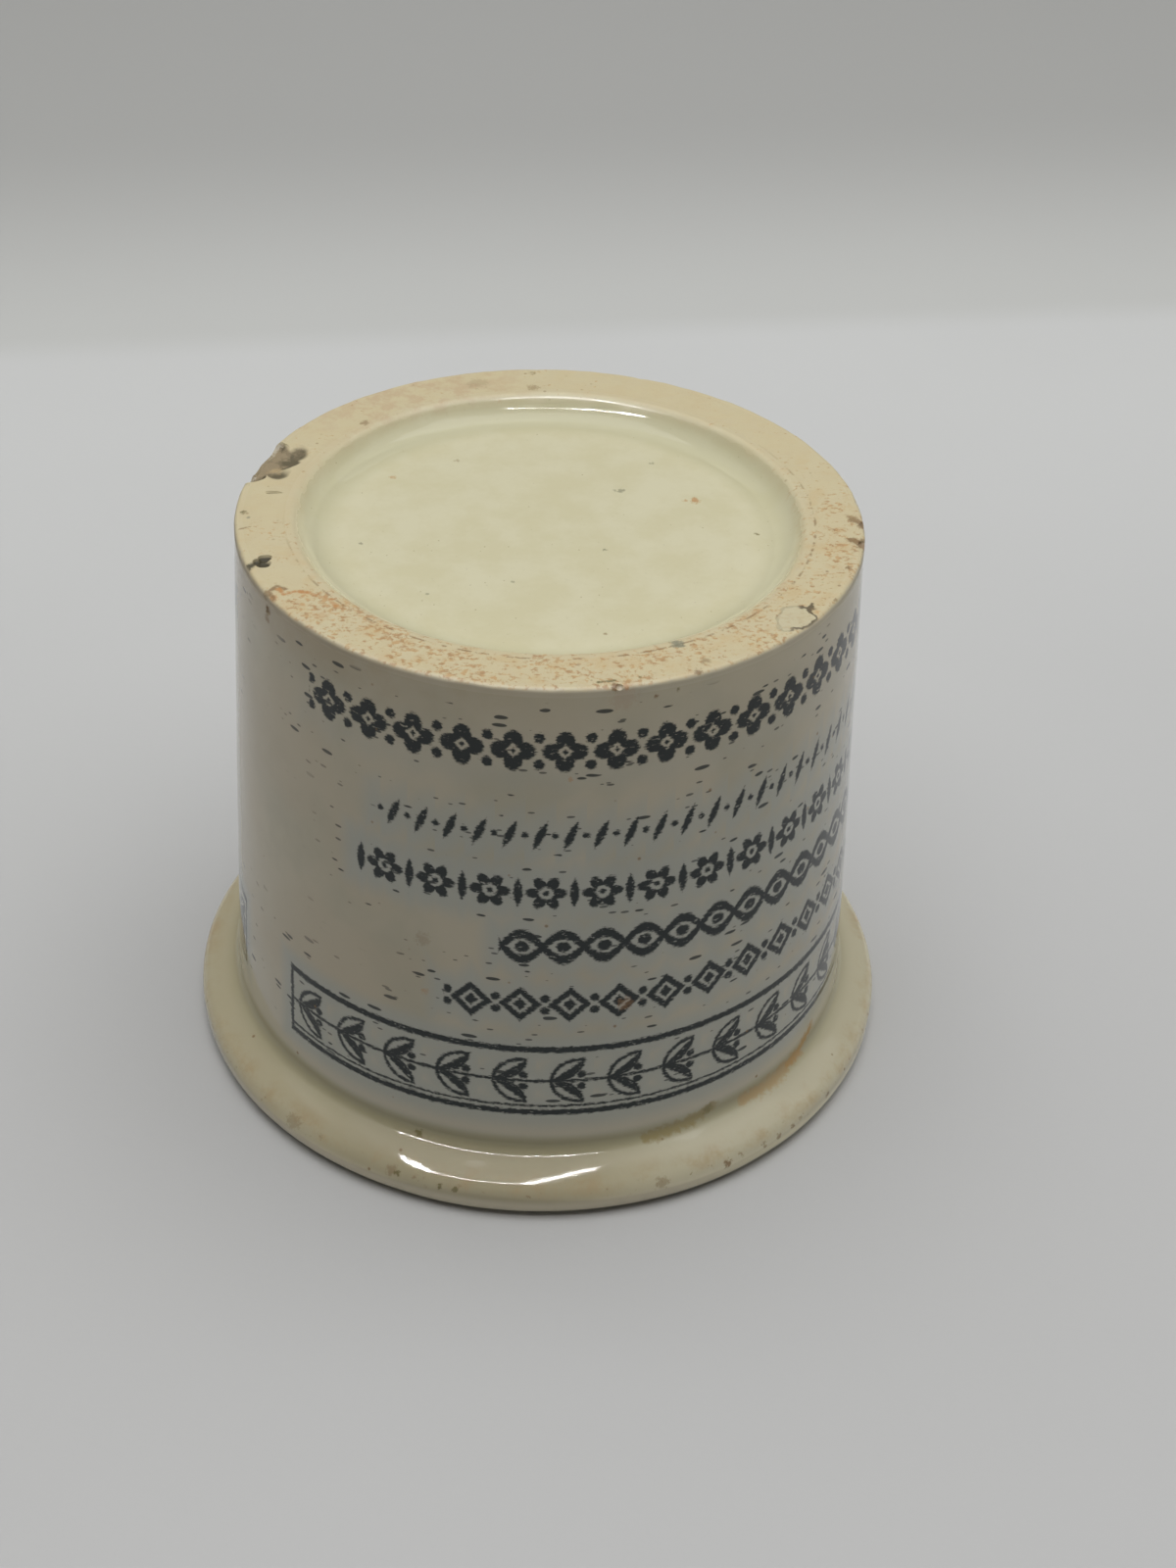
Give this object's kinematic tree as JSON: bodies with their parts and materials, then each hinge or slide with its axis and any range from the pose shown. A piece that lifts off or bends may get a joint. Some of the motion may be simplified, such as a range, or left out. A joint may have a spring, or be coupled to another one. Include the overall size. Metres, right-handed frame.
{
  "type": "ointment pot",
  "caption": "Small glazed earthenware ointment pot standing mouth down: round wall with a slight taper, rounded flange at the mouth, glazed recess inside a bare foot ring.",
  "frame": {"origin": "centre of the mouth face, on the surface the pot stands on mouth down", "axes": "+Z along the pot's axis, from the mouth face up to the foot ring; +Y away from the camera"},
  "size_m": [0.045, 0.045, 0.036],
  "materials": {
    "bare_clay": "matte fired earthenware, bare and iron-specked",
    "wall_glaze": "glossy aged lead glaze, off-white, over a dark print",
    "lining_glaze": "glossy aged lead glaze, cream",
    "pooled_glaze": "glossy cream glaze, greenish where it has pooled"
  },
  "bodies": {
    "root": {"clay_body": "bare_clay", "outer_glaze": "wall_glaze", "inner_glaze": "lining_glaze", "base_glaze": "pooled_glaze"}
  },
  "joints": []
}
